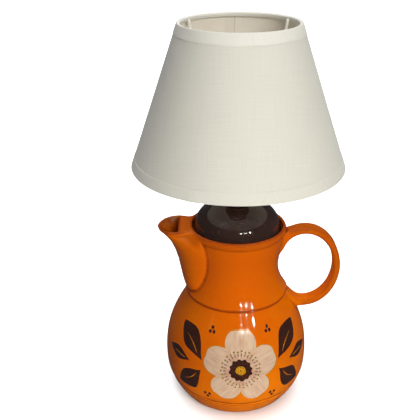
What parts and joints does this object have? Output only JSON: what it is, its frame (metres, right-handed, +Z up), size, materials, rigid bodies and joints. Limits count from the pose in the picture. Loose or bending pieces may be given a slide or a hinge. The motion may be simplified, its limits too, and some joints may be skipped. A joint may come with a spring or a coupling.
{
  "type": "coffee pot table lamp",
  "caption": "Glazed coffee pot with spout, ring handle and lift-off lid, fitted as a table lamp with lampholder, bulb and fabric empire shade.",
  "frame": {"origin": "pot's axis on the surface that the foot ring stands on, which is the centre of the bounding box's bottom", "axes": "+Z up along the pot's and the shade's axis, -X towards the spout, +X towards the handle, -Y towards the painted side, +Y towards the cable outlet"},
  "size_m": [0.2032, 0.2, 0.3818],
  "materials": {
    "orange_glaze": "glossy orange glaze, thinner and browner on the edges",
    "brown_glaze": "glossy dark brown glaze",
    "black_rubber": "matt",
    "zinc_steel": "zinc plated",
    "brass": "satin, lacquered",
    "black_plastic": "moulded thermoset, semi-gloss",
    "porcelain": "white, glazed",
    "solder": "dull solder",
    "black_glass": "black vitrite",
    "nickel": "nickel plated, satin",
    "opal_glass": "opal white inside, satin",
    "clear_glass": "clear",
    "filament_wire": "drawn tungsten",
    "linen": "plain weave, off-white, laminated on card",
    "tape": "woven cotton tape",
    "white_wire": "white powder coat"
  },
  "bodies": {
    "pot": {"pot_body": "orange_glaze", "cable_grommet": "black_rubber"},
    "lid_unit": {"lid": "brown_glaze", "threaded_tube": "zinc_steel", "rubber_washer_lower": "black_rubber", "steel_washer": "zinc_steel", "hex_nut_lower": "zinc_steel", "rubber_washer_upper": "black_rubber", "vase_cap": "brass", "hex_nut_upper": "brass", "lampholder_base": "black_plastic", "terminal_block": "porcelain", "terminal_screw_live": "brass", "terminal_screw_neutral": "brass", "centre_contact": "brass", "screw_shell": "brass", "lampholder_shell": "black_plastic"},
    "ring": {"shade_ring": "black_plastic"},
    "shade": {"shade_fabric": "linen", "trim_top": "tape", "trim_bottom": "tape", "shade_top_ring": "white_wire", "shade_bottom_ring": "white_wire", "fitter_ring": "white_wire", "shade_arm_1": "white_wire", "shade_arm_2": "white_wire", "shade_arm_3": "white_wire"},
    "bulb_tip": {"bulb_contact": "solder"},
    "bulb": {"bulb_insulator": "black_glass", "bulb_cap": "nickel", "bulb_glass": "opal_glass", "bulb_stem": "clear_glass", "bulb_filament": "filament_wire"}
  },
  "joints": [
    {"name": "lid_lift", "type": "slide", "parent": "pot", "child": "lid_unit", "axis": [0, 0, 1], "range_m": [0, 0.08]},
    {"name": "shade_turn", "type": "hinge", "parent": "lid_unit", "child": "shade", "pos_m": [0, 0, 0.2628], "axis": [0, 0, 1], "continuous": true},
    {"name": "shade_ring_turn", "type": "hinge", "parent": "lid_unit", "child": "ring", "pos_m": [0, 0, 0.2672], "axis": [0, 0, 1], "range_deg": [0, 1440]},
    {"name": "bulb_rise", "type": "slide", "parent": "lid_unit", "child": "bulb_tip", "axis": [0, 0, 1], "range_m": [0, 0.0112]},
    {"name": "bulb_unscrew", "type": "hinge", "parent": "bulb_tip", "child": "bulb", "pos_m": [0, 0, 0.26], "axis": [0, 0, 1], "range_deg": [0, 1080]}
  ],
  "couplings": [
    {"joint": "bulb_rise", "follows": "bulb_unscrew", "m_per_rad": 0.000578}
  ]
}
